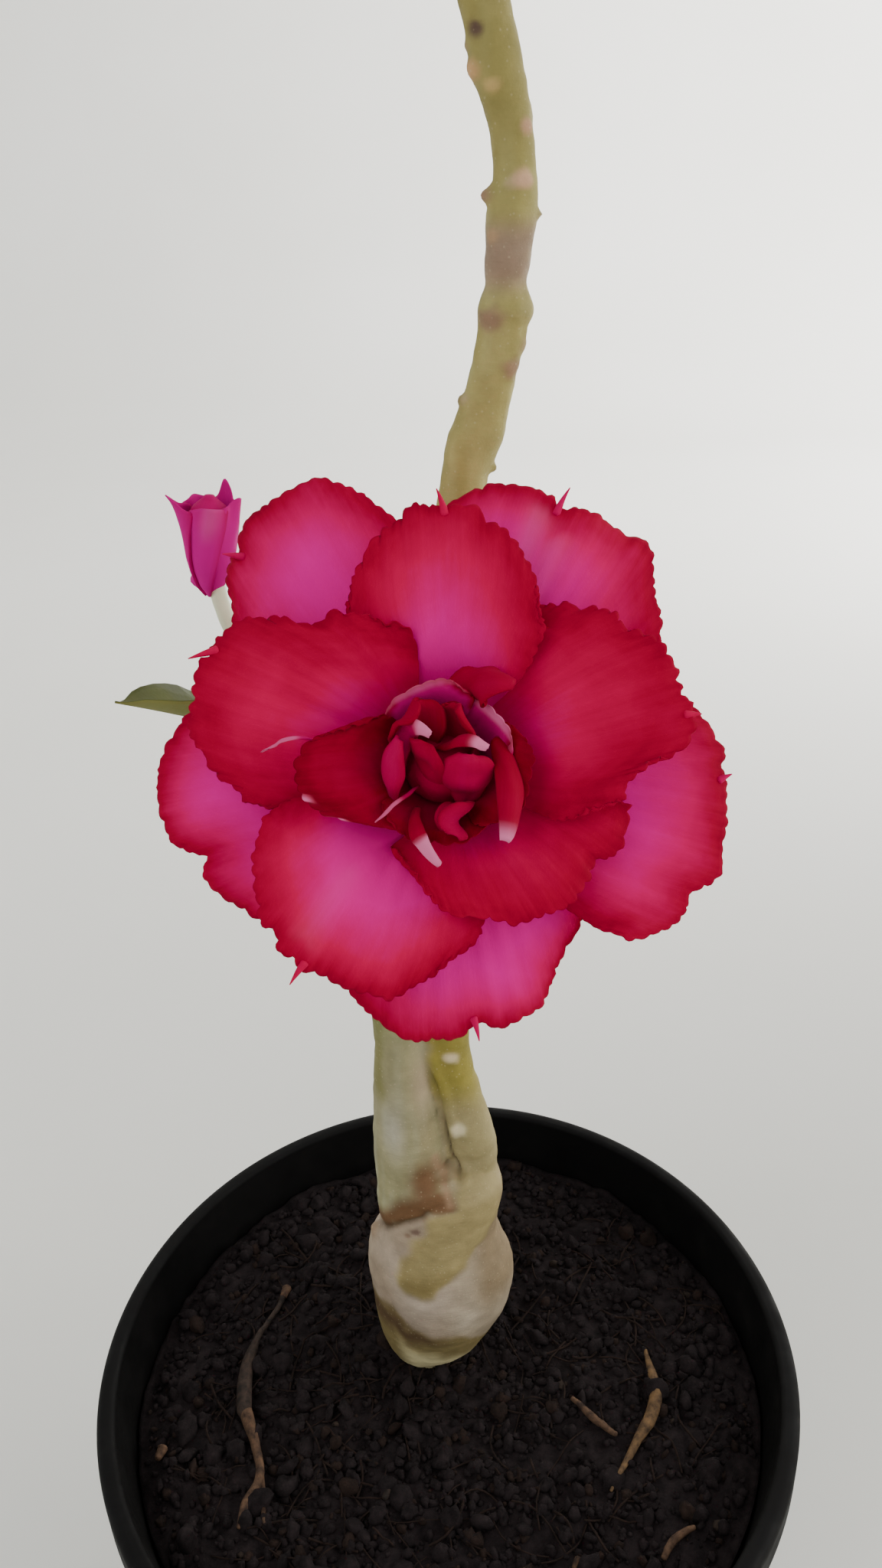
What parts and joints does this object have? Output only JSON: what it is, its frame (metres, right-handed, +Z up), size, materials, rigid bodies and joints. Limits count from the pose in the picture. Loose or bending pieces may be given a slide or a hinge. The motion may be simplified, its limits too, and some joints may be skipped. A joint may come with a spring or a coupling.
{
  "type": "potted desert rose",
  "caption": "Potted desert rose with a swollen grafted trunk, a bare stem, a double crimson bloom, a bud and a leafy crown.",
  "frame": {"origin": "centre of the pot's flat underside", "axes": "+Z up along the plant; -Y is the front, the side that the bloom faces; +X to the right seen from the front"},
  "size_m": [0.1553, 0.1635, 0.4749],
  "materials": {
    "black_plastic": "moulded black polypropylene, satin",
    "potting_mix": "dark moist potting mix with small crumbs",
    "trunk_bark": "smooth pinkish grey bark, browner at the foot",
    "grey_bark": "grey green bark with leaf scars",
    "olive_bark": "olive young bark with leaf scars",
    "leaf": "leathery green leaf with a pale rib",
    "green_stalk": "pale green flower stalk and calyx",
    "outer_petal": "velvety magenta petal with a crimson margin",
    "middle_petal": "velvety crimson petal, magenta at its base",
    "inner_petal": "deep crimson ruffled petal with pale tips"
  },
  "bodies": {
    "root": {"pot": "black_plastic", "potting_mix": "potting_mix", "trunk": "trunk_bark", "left_stem": "grey_bark", "tall_stem": "olive_bark", "crown_branch_1": "olive_bark", "crown_branch_2": "olive_bark", "crown_branch_3": "olive_bark", "leaf_mass_1": "leaf", "leaf_mass_2": "leaf", "leaf_mass_3": "leaf", "shoot_leaves": "leaf", "bloom_stalk": "green_stalk", "bud_stalk": "green_stalk", "bud": "outer_petal", "outer_corolla": "outer_petal", "middle_corolla": "middle_petal", "inner_corolla": "inner_petal"}
  },
  "joints": []
}
